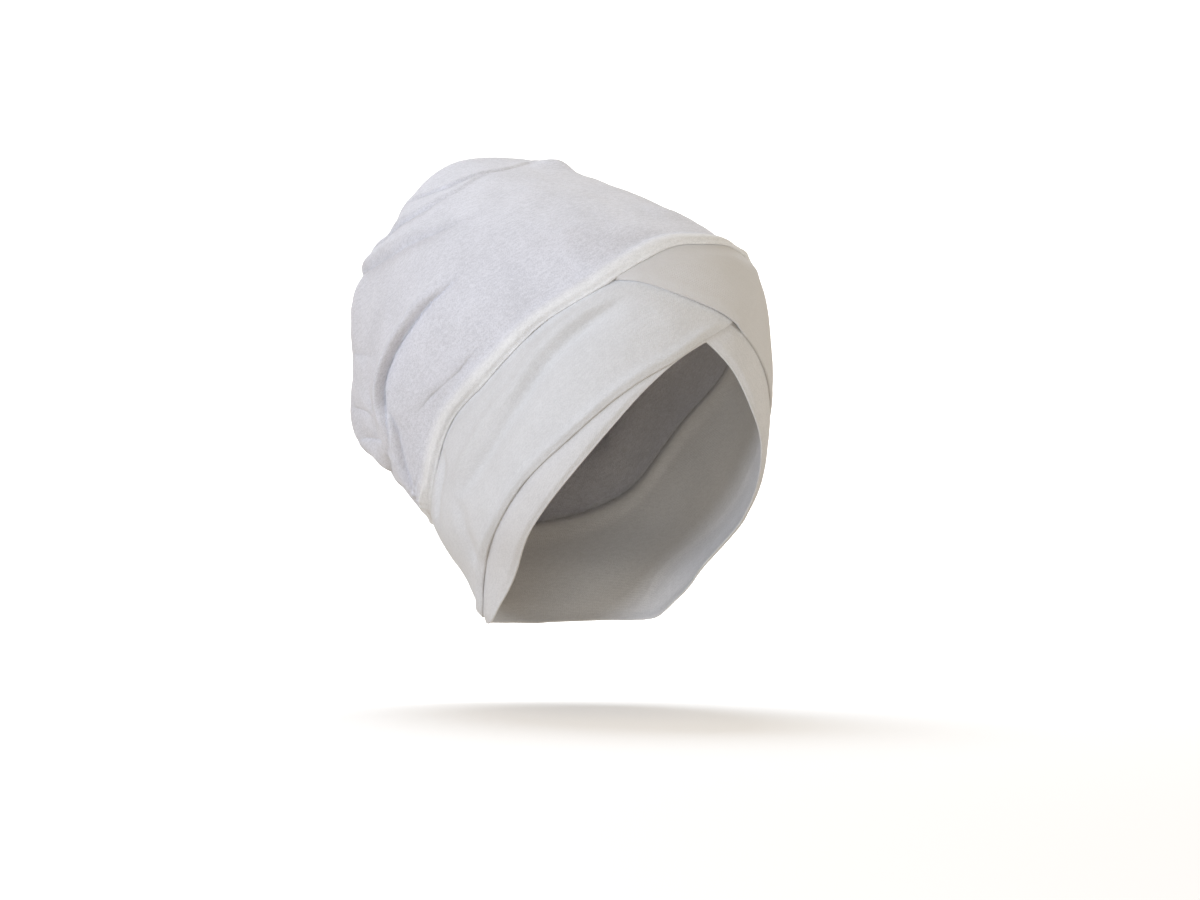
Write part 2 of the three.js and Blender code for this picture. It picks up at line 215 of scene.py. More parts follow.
# A crown fold. Beyond its line, which is to the left of its path seen from outside, the cloth rises
# over a slope to a lip, of which the share tail fades out slowly over fade. Before its line lies a
# hollow that reaches as far as front. The lip leans back over the line, more so where the slope is
# narrow. The path gives places on the crown, the share of the fold there and the slope's width.
Fold = namedtuple("Fold", "name lip hollow front tail fade lean path")
PATH = "angle level share slope"
FOLDS = (
    Fold("right roll", 5.6, 3, 2, 0.4, 18, 5, table(
        PATH,
        (-168, 0.165, 0, 6), (-150, 0.185, 0.5, 6), (-136, 0.175, 0.45, 6), (-125, 0.155, 0.35, 6),
        (-118.5, 0.158, 0.4, 5), (-113.8, 0.172, 0.5, 3.5), (-110, 0.197, 0.7, 2.6), (-104, 0.243, 0.9, 2.2),
        (-97, 0.284, 1, 2.2), (-91, 0.304, 1, 2.4), (-84, 0.309, 1, 3.2), (-77, 0.31, 0.9, 4.2),
        (-69, 0.3, 0.5, 5), (-60, 0.3, 0, 5),
    )),
    Fold("right small roll", 3, 2.6, 4, 0.3, 7, 1.5, table(
        PATH,
        (-131, 0.045, 0, 4), (-126.5, 0.064, 0.7, 4), (-121.5, 0.098, 1, 4), (-117.2, 0.117, 1, 4),
        (-112.7, 0.137, 1, 4), (-109.5, 0.162, 0.7, 3.5), (-106.5, 0.185, 0, 3),
    )),
    Fold("roll back valley", 0, 2.2, 4, 0, 6, 0, table(
        PATH,
        (-99, 0.358, 0, 4), (-104, 0.33, 0.5, 4), (-108.2, 0.305, 0.8, 4), (-113.2, 0.265, 1, 4),
        (-118.5, 0.23, 1, 4), (-123, 0.2, 0.7, 4), (-129, 0.165, 0, 4),
    )),
    Fold("top high leaf", 1.6, 0.4, 5, 0.8, 18, 1, table(
        PATH,
        (-72, 0.835, 0, 2), (-62, 0.805, 0.6, 2), (-52, 0.77, 0.9, 2), (-41, 0.745, 0.9, 2),
        (-28, 0.748, 0.7, 2), (-14, 0.755, 0.6, 2), (1, 0.808, 0.4, 2), (16, 0.85, 0.2, 2), (30, 0.88, 0, 2),
    )),
    Fold("top middle leaf", 2.2, 0.8, 6, 0.6, 12, 1, table(
        PATH,
        (-97, 0.81, 0, 2.5), (-84, 0.765, 0.8, 2.5), (-72, 0.73, 1, 2.5), (-59, 0.697, 0.8, 2.5),
        (-48, 0.692, 0.6, 2.5), (-38, 0.698, 0.45, 2.5), (-28, 0.728, 0.3, 2.5), (-20, 0.74, 0, 2.5),
    )),
    Fold("top low valley", 2.4, 2.2, 12, 0.6, 14, 0, table(
        PATH,
        (-113, 0.8, 0, 4), (-99, 0.752, 0.9, 4), (-81, 0.66, 1, 4), (-69, 0.61, 0.9, 4),
        (-57, 0.556, 0.5, 4), (-47, 0.522, 0.2, 4), (-36, 0.49, 0, 4),
    )),
    Fold("pouch waist", 0, 2.2, 8, 0, 8, 0, table(
        PATH,
        (-94, 0.33, 0, 9), (-98, 0.385, 0.6, 9), (-105, 0.47, 1, 9), (-113, 0.54, 0.8, 9), (-122, 0.6, 0, 9),
    )),
    Fold("right side crease", 1, 0.8, 5, 0.2, 8, 0, table(
        PATH,
        (-104, 0.102, 0, 5), (-98, 0.095, 0.8, 5), (-94, 0.088, 0.8, 5), (-91, 0.082, 0.5, 5),
        (-87, 0.075, 0.9, 5), (-83.2, 0.075, 0.8, 5), (-78, 0.073, 0, 5),
    )),
    Fold("pouch crinkle high", 0.8, 2.4, 6, 0, 6, 0, table(
        PATH,
        (-125, 0.41, 0, 8), (-121, 0.365, 0.8, 8), (-118, 0.318, 1, 8), (-116.2, 0.29, 0.5, 8),
        (-115, 0.27, 0, 8),
    )),
    Fold("pouch crinkle low", 1, 2.8, 7, 0, 6, 0, table(
        PATH,
        (-118, 0.172, 0, 8), (-121.5, 0.195, 0.9, 8), (-128, 0.252, 1, 8), (-132, 0.3, 0.8, 8),
        (-140, 0.36, 0, 8),
    )),
    Fold("left roll", 5, 2.8, 2.5, 0.4, 16, 5, table(
        PATH,
        (60, 0.32, 0, 7), (76, 0.35, 0.8, 5), (90, 0.35, 1, 4), (102, 0.325, 1, 3), (114, 0.25, 0.9, 3),
        (126, 0.175, 0.7, 4), (137, 0.18, 0.6, 5), (150, 0.185, 0.5, 6), (167, 0.17, 0, 6),
    )),
    Fold("left top valley", 2, 3, 8, 0.4, 11, 2, table(
        PATH, (26, 0.71, 0, 5), (44, 0.675, 1, 5), (66, 0.665, 1, 5), (92, 0.7, 0, 5),
    )),
    Fold("back left drape", 2, 1.6, 9, 0.5, 13, 0, table(
        PATH, (112, 0.84, 0, 8), (128, 0.7, 1, 8), (140, 0.52, 1, 8), (150, 0.34, 0, 8),
    )),
    Fold("back right drape", 2, 1.6, 9, 0.5, 13, 0, table(
        PATH, (-172, 0.3, 0, 8), (-164, 0.48, 1, 8), (-154, 0.66, 1, 8), (-140, 0.84, 0, 8),
    )),
)
LIP_REACH = 1.6

# How much a fold draws the mesh together along its line
FOLD_DRAW = 0.6
DRAW_REACH = 9

# Width of the welt along the crown's edge, by the angle to either side. In shares of that width,
# the welt rises from the edge, falls again, and ends in a shallow furrow.
WELT = table("angle width", (0, 10), (60, 9.5), (90, 8), (110, 6.5), (180, 6))
WELT_RISE = 0.4
WELT_FALL = (0.55, 1.25)
FURROW_DEPTH = 0.2
FURROW_PLACE = 1.45
FURROW_REACH = 0.35

# Soft swellings of the crown, and hollows where the height is below zero
SWELLINGS = table(
    "angle level height radius",
    (11, 0.785, 4.5, 11),
    (20, 0.755, -3, 8),
    (9, 0.32, 2, 14),
    (25, 0.1, -3, 8),
    (-42, 0.9, 3, 20),
    (-79.5, 0.79, -3.5, 8),
    (-86, 0.843, -3.5, 10),
    (-103, 0.7, 3, 16),
    (-120.5, 0.535, -2.5, 12),
    (-136, 0.36, 5.5, 18),
    (-131, 0.195, -3, 10),
    (-145, 0.222, -5, 11),
    (134, 0.34, 4, 24),
)

# Soft valleys and pleats pressed into the bands, and ridges where the depth is below zero. Each has
# its reach before and beyond the path, which starts and ends softly over a share of its length.
Press = namedtuple("Press", "name depth before beyond path")
PRESS_PATH = "angle height"
PRESS_FADE = 0.25
RIGHT_PRESSES = (
    Press("long ridge", -2.4, 5, 3.5, table(
        PRESS_PATH,
        (-24, -52), (-34, -58.5), (-51, -72.5), (-64, -90.5), (-71, -106), (-81, -122), (-88, -138),
        (-93, -150), (-98, -162),
    )),
    Press("long valley", 4.2, 3.5, 9, table(
        PRESS_PATH,
        (-24, -58), (-36, -67.5), (-47, -77.5), (-59, -92.5), (-67, -109), (-75.5, -128), (-86, -150),
        (-92, -163), (-97, -176),
    )),
    Press("faint line", 0.5, 3, 3, table(
        PRESS_PATH, (-19, -67), (-26, -73), (-33, -80), (-42, -89),
    )),
    Press("first pleat", 3.2, 4, 7, table(
        PRESS_PATH, (-105, -138), (-107, -153), (-109, -166), (-113, -182),
    )),
    Press("second pleat", 2.6, 4, 7, table(
        PRESS_PATH, (-94, -165), (-94, -178), (-96, -192), (-101, -206),
    )),
)
LEFT_PRESSES = (
    Press("faint line", 0.5, 2.5, 2.5, table(
        PRESS_PATH, (1, -41.5), (10, -42.5), (17, -46), (26, -51.5), (33, -58),
    )),
)

# Gathers and puckers along the crown's nape edge: their pitch in degrees, their height, the level at
# which they end, the angles at which they start and are full, and how far they shift and vary
Gathers = namedtuple("Gathers", "name pitch height level start full shift vary")
NAPE_GATHERS = (
    Gathers("gathers", 18, 2.8, 0.17, 112, 135, 0, 0),
    Gathers("puckers", 4.4, 1.6, 0.12, 110, 121, 2.6, 0.35),
)
SHIFT_RATE = 0.19
VARY_RATE = 0.37

# Crimps across the gathers: their pitch in levels, and the degrees over which one climbs by a pitch
CRIMP_PITCH = 0.018
CRIMP_CLIMB = 60
CRIMP_HEIGHT = 1.6
CRIMP_LEVELS = (0.0425, 0.085)
CRIMP_START = (118, 124)
CRIMP_END = (134, 142)

# The seam holds the gathers flat
HELD_SHARE = 0.15
HELD_REACH = 7

# Slow waves of each cloth, as pairs of height and length. Along each axis runs one wave, bent by the
# axis before it so that no two places look alike.
CROWN_WAVES = ((0.5, 46), (0.25, 15))
RIGHT_WAVES = ((0.35, 38), (0.12, 14))
LEFT_WAVES = ((0.3, 40),)
UNDER_WAVES = ((0.3, 30),)
WAVES_OFF_SEAM = (10, 40)
WAVE_BENDS = table(
    "rate bend bend_rate phase",
    (1, 1.7, 0.6, 0.4),
    (0.9, 1.3, 0.7, 1.1),
    (1.1, 1.5, 0.8, 2.0),
)


def ramp(x, low, high):
    """Smooth step from 0 at low to 1 at high."""
    t = np.clip((x - low) / (high - low), 0, 1)
    return t * t * (3 - 2 * t)


def hill(distance, reach):
    """Smooth bump of height 1 at distance 0."""
    return np.exp(-((distance / reach) ** 2))


def ripple(turns):
    """Rounded waves between 0 and 1, one for each whole turn."""
    return 0.5 + 0.5 * np.cos(turns * 2 * math.pi)


def power(value, exponent):
    """Power of the size of a value, with the value's sign."""
    return np.sign(value) * np.abs(value) ** exponent


def unit(vectors):
    return vectors / np.maximum(np.linalg.norm(vectors, axis=-1, keepdims=True), LEAST_LENGTH)


def hermite(start, start_slope, end, end_slope, t):
    """Smooth curve between two values with given slopes, for t from 0 to 1."""
    rise = t * t * (3 - 2 * t)
    return start * (1 - rise) + end * rise + t * (1 - t) * (start_slope * (1 - t) - end_slope * t)


def read(rows, key, column, x, level_ends=False):
    """Smooth value of a column at x; the key column runs upwards."""
    keys, values = rows[key], rows[column]
    slopes = np.gradient(values)
    slopes[1:-1] = (values[2:] - values[:-2]) / (keys[2:] - keys[:-2])
    slopes[[0, -1]] /= np.diff(keys)[[0, -1]]
    if level_ends:
        slopes[[0, -1]] = 0
    at = np.clip(x, keys[0], keys[-1])
    i = np.clip(np.searchsorted(keys, at) - 1, 0, len(keys) - 2)
    step = keys[i + 1] - keys[i]
    return hermite(values[i], slopes[i] * step, values[i + 1], slopes[i + 1] * step, (at - keys[i]) / step)


def set_by_density(rows, key, count):
    """Places from end to end of a density table, closer together where the density is higher."""
    fine = np.linspace(rows[key][0], rows[key][-1], DENSITY_STEPS)
    total = np.cumsum(np.interp(fine, rows[key], rows["density"]))
    total = (total - total[0]) / (total[-1] - total[0])
    return np.interp(np.linspace(0, 1, count), total, fine)


def of_side(columns, angle, level_ends):
    """Value of the right or of the left column of the edges, by the side an angle lies on."""
    sides = (read(EDGES, "angle", column, np.abs(angle), level_ends) for column in columns)
    return np.where(np.asarray(angle) < 0, *sides)


def seam_height(angle):
    return of_side(("right_seam", "left_seam"), angle, True)


def under_edge(angle):
    return of_side(("right_edge", "left_edge"), angle, False)


def right_hem(angle):
    return read(HEMS, "angle", "right", -angle)


def left_hem(angle):
    return read(HEMS, "angle", "left", angle)


def band_point(angle, height):
    """Points of the worn shape at angles and heights."""
    width, front, back, square = (
        read(SECTIONS, "height", column, height) for column in ("half_width", "front", "back", "square")
    )
    turn = np.radians(angle)
    x = width * power(np.sin(turn), 2 / square)
    y = (front + back) / 2 - (back - front) / 2 * power(np.cos(turn), 2 / square)
    return np.stack([x, y, height + 0 * x], -1)


def crown_loops(angle):
    """Points of the seam and of each leaning crown section, at the same angles."""
    loops = [band_point(angle, seam_height(angle))]
    turn = np.radians(angle)
    for top_y, top_z, low_y, low_z, width, shift, square in zip(*list(CROWN.values())[1:]):
        side, up = power(np.sin(turn), 2 / square), power(np.cos(turn), 2 / square)
        loops.append(np.stack([
            shift + width * side,
            (top_y + low_y) / 2 + (top_y - low_y) / 2 * up,
            (top_z + low_z) / 2 + (top_z - low_z) / 2 * up,
        ], -1))
    return np.array(loops)


def crown_point(angle, level):
    """Points of the smooth crown at pairs of angle and level."""
    angle, level = np.broadcast_arrays(np.asarray(angle, float), np.asarray(level, float))
    loops = crown_loops(angle.ravel())
    levels = np.array([0, *CROWN["level"]])
    slopes = np.empty_like(loops)
    slopes[1:-1] = (loops[2:] - loops[:-2]) / (levels[2:] - levels[:-2])[:, None, None]
    slopes[0] = (loops[1] - loops[0]) / (levels[1] - levels[0])
    slopes[-1] = (loops[-1] - loops[-2]) / (levels[-1] - levels[-2])
    i = np.clip(np.searchsorted(levels, level.ravel()) - 1, 0, len(levels) - 2)
    j = np.arange(angle.size)
    step = (levels[i + 1] - levels[i])[:, None]
    t = (level.ravel() - levels[i])[:, None] / step
    found = hermite(loops[i, j], slopes[i, j] * step, loops[i + 1, j], slopes[i + 1, j] * step, t)
    return found.reshape(angle.shape + (3,))


def grid_normals(grid, ring):
    """Outward directions of a grid whose rows run up the cloth and columns run round the cap."""
    if ring:
        across = np.roll(grid, -1, 1) - np.roll(grid, 1, 1)
    else:
        across = np.gradient(grid, axis=1)
    return unit(np.cross(across, np.gradient(grid, axis=0)))


def path_line(path, place, second):
    """A smooth line through the places of a path, and the path's rows with their places along it."""
    shares = np.linspace(0, 1, LINE_STEPS)
    rows = {**path, "at": np.linspace(0, 1, len(path["angle"]))}
    return place(read(rows, "at", "angle", shares), read(rows, "at", second, shares)), rows


def by_line(points, normals, line):
    """Signed distance of each point off a line, + to the line's left seen from outside, its share
    along the line, and the direction off the line."""
    flat, up = points.reshape(-1, 3), normals.reshape(-1, 3)
    gap = (flat ** 2).sum(1)[:, None] - 2 * flat @ line.T + (line ** 2).sum(1)
    near = gap.argmin(1)
    along = np.gradient(line, axis=0)[near]
    away = flat - line[near]
    step = np.clip((away * along).sum(1) / (along ** 2).sum(1), -MOST_ALONG, MOST_ALONG)
    across = unit(np.cross(up, along))
    side = (away * across).sum(1)
    reach = np.linalg.norm(away, axis=1)
    distance = np.where(reach > FAR_FROM_LINE, np.where(side < 0, -reach, reach), side)
    share = np.clip((near + step) / (len(line) - 1), 0, 1)
    shape = points.shape[:-1]
    return distance.reshape(shape), share.reshape(shape), across.reshape(points.shape)


def fold_form(fold, points, normals):
    """Height of a fold at each point of the crown, and how far the point moves sideways."""
    line, rows = path_line(fold.path, crown_point, "level")
    distance, along, across = by_line(points, normals, line)
    strength = np.clip(read(rows, "at", "share", along), 0, 1)
    slope = read(rows, "at", "slope", along)
    drawn = distance * (1 - FOLD_DRAW * strength * hill(distance, DRAW_REACH))
    beyond = np.maximum(drawn, 0)
    crest = hill(np.maximum(beyond - slope, 0), slope / 2 + LIP_REACH)
    tail = hill(np.maximum(beyond - slope, 0), fold.fade)
    rise = np.sqrt(1 - (1 - np.minimum(beyond / slope, 1)) ** 2)
    lip = fold.lip * rise * (crest + fold.tail * (tail - crest))
    before = np.exp(-np.maximum(-drawn, 0) / fold.front)
    hollow = fold.hollow * np.where(drawn < 0, before, 1 - rise)
    lean = strength * fold.lean / slope * rise * crest
    return strength * (lip - hollow), (drawn - distance - lean)[..., None] * across


def press_depth(press, points, normals):
    """Depth of a valley or pleat at each point of a band."""
    line, _ = path_line(press.path, band_point, "height")
    distance, along, _ = by_line(points, normals, line)
    reach = np.where(distance < 0, press.before, press.beyond)
    ends = ramp(along, 0, PRESS_FADE) * (1 - ramp(along, 1 - PRESS_FADE, 1))
    return press.depth * hill(distance, reach) * ends


def undulation(points, waves):
    """Slow, uneven waves of the cloth, from pairs of height and length."""
    total = np.zeros(points.shape[:-1])
    for height, length in waves:
        turns = np.moveaxis(points, -1, 0) * (2 * math.pi / length)
        for axis, (rate, bend, bend_rate, phase) in enumerate(zip(*WAVE_BENDS.values())):
            bent = rate * turns[axis] + bend * np.sin(bend_rate * turns[axis - 1] + phase)
            total = total + height / len(turns) * np.sin(bent)
    return total


def overlap_lift(angle, height):
    """How far the left band stands off at a height, to pass over the right band."""
    below = right_hem(angle) - height
    past_tip = np.maximum(np.abs(angle) - TIP_ANGLE, 0)
    return OVERLAP_LIFT * (1 - ramp(below, LIFT_HOLD, LIFT_FADE)) * (1 - ramp(past_tip, 0, TIP_FADE))


def run_along(grid, axis):
    """Running length along one axis of a grid, in millimetres."""
    steps = np.linalg.norm(np.diff(grid, axis=axis), axis=-1)
    start = np.zeros_like(np.take(steps, [0], axis))
    return np.concatenate([start, np.cumsum(steps, axis)], axis)


def rounded_edge(outer, inner, above):
    """Rows of points round a cloth edge, from its inner to its outer side."""
    middle, half = (outer + inner) / 2, (outer - inner) / 2
    down = unit(outer - above) * np.linalg.norm(half, axis=-1, keepdims=True)
    turns = np.linspace(math.pi, 0, EDGE_STEPS + 2)[1:-1]
    return np.array([middle + math.cos(turn) * half + math.sin(turn) * down for turn in turns])


def closing_rows(row):
    """Rows that draw a closed loop in to its middle."""
    middle = row.mean(0)
    shares = 1 - np.arange(1, CLOSING_ROWS + 1) / (CLOSING_ROWS + FAN_STEP)
    return np.array([middle + (row - middle) * share for share in shares]), middle


def cloth_faces(profile, width, ring, closed):
    """Quads over a grid of profile rows and columns, with the grid place of each corner.
    A closed profile joins its last row to its first."""
    rows = profile if closed else profile - 1
    i, j = np.meshgrid(np.arange(rows), np.arange(width if ring else width - 1), indexing="ij")
    i, j = i.ravel(), j.ravel()
    corners_i = np.stack([i, i, i + 1, i + 1], -1)
    corners_j = np.stack([j, j + 1, j + 1, j], -1)
    return (corners_i % profile) * width + corners_j % width, corners_i, corners_j


def add_piece(name, points, faces, uv, material):
    """A smooth cloth object from millimetre points, faces and the corners' cloth places in metres."""
    mesh = bpy.data.meshes.new(name)
    mesh.from_pydata(((points + (0, 0, SEAT_RISE)) * MM).tolist(), [], faces)
    layer = mesh.uv_layers.new(name=UV_NAME)
    layer.uv.foreach_set("vector", np.asarray(uv, np.float32).ravel())
    mesh.shade_smooth()
    if mesh.validate():
        raise RuntimeError(f"{name} has a faulty mesh")
    mesh.materials.append(material)
    piece = bpy.data.objects.new(name, mesh)
    bpy.context.scene.collection.objects.link(piece)
    return piece


def declare(piece, node):
    """Puts a piece on its body, in place of its solid."""
    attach(piece, "root")
    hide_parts(node)


def lowest_near(height, rows, columns):
    """Lowest height within some rows and columns of each place of a ring grid."""
    around = np.min([np.roll(height, k, 1) for k in range(-columns, columns + 1)], 0)
    tall = np.pad(around, ((rows, rows), (0, 0)), mode="edge")
    return np.min([tall[k:k + len(height)] for k in range(2 * rows + 1)], 0)


def nape_relief(angle, level):
    """Height of the gathers, puckers and crimps along the crown's nape edge."""
    side = np.abs(angle)
    crimped = ramp(side, *CRIMP_START) * (1 - ramp(side, *CRIMP_END)) * (1 - ramp(level, *CRIMP_LEVELS))
    height = CRIMP_HEIGHT * crimped * ripple(level / CRIMP_PITCH + angle / CRIMP_CLIMB)
    for gathers in NAPE_GATHERS:
        drawn = ramp(side, gathers.start, gathers.full) * (1 - ramp(level, 0, gathers.level))
        turns = (angle + gathers.shift * np.sin(angle * SHIFT_RATE)) / gathers.pitch
        share = 1 - gathers.vary + gathers.vary * np.sin(angle * VARY_RATE)
        height = height + gathers.height * drawn * share * ripple(turns)
    return height


def crown_relief(angle, level, smooth, normals, sizes):
    """Height of the crown's outer side above its smooth shape, and the sideways moves of its folds."""
    off = run_along(smooth, 0)
    lift = overlap_lift(angle, seam_height(angle))
    seat = (LAYER_GAP + SEAT_CLOTH + lift - SEAM_DIVE) * (1 - ramp(off, 0, SEAT_FADE))
    across = off / read(WELT, "angle", "width", np.abs(angle))
    welt = ramp(across, 0, WELT_RISE) * (1 - ramp(across, *WELT_FALL))
    welt = welt - FURROW_DEPTH * hill(across - FURROW_PLACE, FURROW_REACH)
    held = HELD_SHARE + (1 - HELD_SHARE) * ramp(off, 0, HELD_REACH)
    height = seat + welt * sizes.welt_height / MM + held * nape_relief(angle, level)
    height = height + undulation(smooth, CROWN_WAVES) * ramp(off, *WAVES_OFF_SEAM)
    moves = np.zeros_like(smooth)
    for fold in FOLDS:
        rise, move = fold_form(fold, smooth, normals)
        height = height + sizes.fold_depth * rise
        moves = moves + sizes.fold_depth * move
    for place_angle, place_level, rise, radius in zip(*SWELLINGS.values()):
        away = np.linalg.norm(smooth - crown_point(place_angle, place_level), axis=-1)
        height = height + rise * hill(away, radius)
    return height, moves


def closing_fans(rows, around, up):
    """Triangles from the crown's first and last rows to the two tips that follow its grid, and the
    cloth places of their corners."""
    last = (rows - 1) * CROWN_COLUMNS
    inner_tip, outer_tip = rows * CROWN_COLUMNS, rows * CROWN_COLUMNS + 1
    fans, places = [], []
    for j in range(CROWN_COLUMNS):
        k = (j + 1) % CROWN_COLUMNS
        fans += [(k, j, inner_tip), (last + j, last + k, outer_tip)]
        for row, pair in ((0, (j + 1, j)), (-1, (j, j + 1))):
            places += [(around[row, c], up[row, c % CROWN_COLUMNS]) for c in pair]
            places.append((around[row, j], up[row, j]))
    return fans, places


def make_crown(sizes, material):
    """The crown: its lining from the closed end down, the rounded edge, and the outer side back up."""
    angles = set_by_density(COLUMN_DENSITY, "angle", CROWN_COLUMNS + 1)[:-1]
    levels = set_by_density(LEVEL_DENSITY, "level", CROWN_ROWS)
    level, angle = np.meshgrid(levels, angles, indexing="ij")
    smooth = crown_point(angle, level)
    normals = grid_normals(smooth, True)
    height, moves = crown_relief(angle, level, smooth, normals, sizes)
    outer = smooth + normals * height[..., None] + moves
    lining = np.unique([*range(0, CROWN_ROWS, LINING_STEP), CROWN_ROWS - 1])
    depth = lowest_near(height, LINING_STEP, LINING_REACH) - sizes.crown_cloth / MM
    inner = (smooth + normals * depth[..., None])[lining]
    outer_close, outer_tip = closing_rows(outer[-1])
    inner_close, inner_tip = closing_rows(inner[-1])
    edge = rounded_edge(outer[0], inner[0], outer[1])
    sides = np.concatenate([inner_close[::-1], inner[::-1], edge]), np.concatenate([outer, outer_close])
    profile = np.concatenate(sides)
    closed_row = np.concatenate([profile, profile[:, :1]], 1)
    around = run_along(closed_row, 1)
    around = around - around[:, [np.abs(angles).argmin()]]
    up = run_along(profile, 0)
    up = up - up[[len(sides[0])]]
    faces, corners_i, corners_j = cloth_faces(*profile.shape[:2], True, False)
    uv = np.stack([around[corners_i, corners_j], up[corners_i, corners_j % CROWN_COLUMNS]], -1)
    points = np.concatenate([profile.reshape(-1, 3), [inner_tip, outer_tip]])
    fans, fan_uv = closing_fans(len(profile), around, up)
    uv = np.concatenate([uv.reshape(-1, 2), fan_uv]) * MM
    return add_piece("crown_cloth", points, faces.tolist() + fans, uv, material)


def make_band(name, angles, ring, hem, cloth, stand_off, material):
    """A band layer: rows from its hem up to the seam, and one more tucked under the crown."""
    top = seam_height(angles)
    low = np.minimum(hem(angles), top - LEAST_WIDTH)
    share = (np.linspace(0, 1, BAND_ROWS) ** ROW_CROWDING)[:, None]
    height = low + (top - low) * share
    around = np.broadcast_to(angles, height.shape)
    grid = band_point(around, height)
    tuck = crown_point(angles, np.full(len(angles), TUCK_LEVEL))
    grid = np.concatenate([grid, tuck[None]])
    normals = grid_normals(grid, ring)
    stand = stand_off(around, height, grid[:-1], normals[:-1])
    stand = stand - SEAM_DIVE * (1 - ramp(top - height, 0, DIVE_REACH))
    stand = np.concatenate([stand, stand[-1:]])[..., None]
    outer, inner = grid + normals * stand, grid + normals * (stand - cloth)
    edge = rounded_edge(outer[0], inner[0], outer[1])
    profile = np.concatenate([inner[::-1], edge, outer])
    count, width = profile.shape[:2]
    hem_inside, hem_outside = len(inner) - 1, len(inner) + EDGE_STEPS
    faces, corners_i, corners_j = cloth_faces(count, width, ring, True)
    closed = np.concatenate([profile, profile[:, :1]], 1)
    along = run_along(closed, 1)
    along = along - along[:, [np.abs(angles).argmin()]]
    up = run_along(profile, 0)
    up = up - up[[hem_outside]]
    uv = np.stack([along[corners_i % count, corners_j], up[corners_i % count, corners_j % width]], -1)
    faces, uv = faces.tolist(), uv.reshape(-1, 2).tolist()
    if not ring:
        for j, forward in ((0, True), (width - 1, False)):
            for i in range(hem_inside):
                quad = [hem_inside - i, hem_inside - i - 1, hem_outside + i + 1, hem_outside + i]
                add_end(faces, uv, quad if forward else quad[::-1], j, width, along, up)
            rim = list(range(hem_inside, hem_outside + 1))
            add_end(faces, uv, rim[::-1] if forward else rim, j, width, along, up)
    return add_piece(name, profile.reshape(-1, 3), faces, np.array(uv) * MM, material)


def add_end(faces, uv, rows, column, width, along, up):
    """One face across a band's cut end."""
    faces.append([row * width + column for row in rows])
    uv += [(along[row, column], up[row, column]) for row in rows]


def band_slack(angle, height, hem, crest):
    """Soft bulge of a band between its hem and the seam, and the ridge of its folded hem."""
    seam = seam_height(angle)
    share = np.clip((height - hem) / np.maximum(seam - hem, LEAST_WIDTH), 0, 1)
    ridge = crest * hill(height - hem - CREST_PLACE, CREST_REACH) * ramp(seam - height, *CREST_ROOM)
    return np.sin(math.pi * share), ridge


def right_stand(angle, height, points, normals):
    """How far the right band stands off the worn shape. It lies flat where the left band covers it."""
    bulge, ridge = band_slack(angle, height, right_hem(angle), RIGHT_CREST)
    stand = BAND_SLACK * bulge + ridge + undulation(points, RIGHT_WAVES)
    for press in RIGHT_PRESSES:
        stand = stand - press_depth(press, points, normals)
    return np.maximum(stand, LEAST_STAND) * ramp(left_hem(angle) - height, *RIGHT_FREE)


def left_stand(angle, height, points, normals):
    """How far the left band stands off the worn shape. It is tight where it crosses the right band."""
    bulge, ridge = band_slack(angle, height, left_hem(angle), LEFT_CREST)
    slack = CROSSING_SLACK + (BAND_SLACK - CROSSING_SLACK) * ramp(angle, *LEFT_FREE)
    stand = slack * bulge + ridge + undulation(points, LEFT_WAVES)
    for press in LEFT_PRESSES:
        stand = stand - press_depth(press, points, normals)
    return overlap_lift(angle, height) + np.maximum(stand, 0)


def under_stand(angle, height, points, normals):
    """How far the under band stands off the worn shape: behind the bands, and as a strip below them."""
    right, left, edge = right_hem(angle), left_hem(angle), under_edge(angle)
    hem = np.maximum(np.where(angle < 0, right, left), edge)
    hem = np.where(np.abs(angle) < TIP_ANGLE, np.minimum(right, left), hem)
    shown = ramp(hem - height, *STRIP_SHOWN)
    curl = 1 - ramp(height - edge, 0, CURL_HEIGHT)
    strip = STRIP_STAND - CURL_DEPTH * curl + undulation(points, UNDER_WAVES)
    pressed = np.minimum(right_stand(angle, height, points, normals), 0)
    filled = FILL_HEIGHT * hill(height - hem, FILL_REACH) * ramp(np.abs(left - right), *HEMS_APART)
    return (1 - shown) * pressed + shown * strip + filled - UNDER_DEPTH


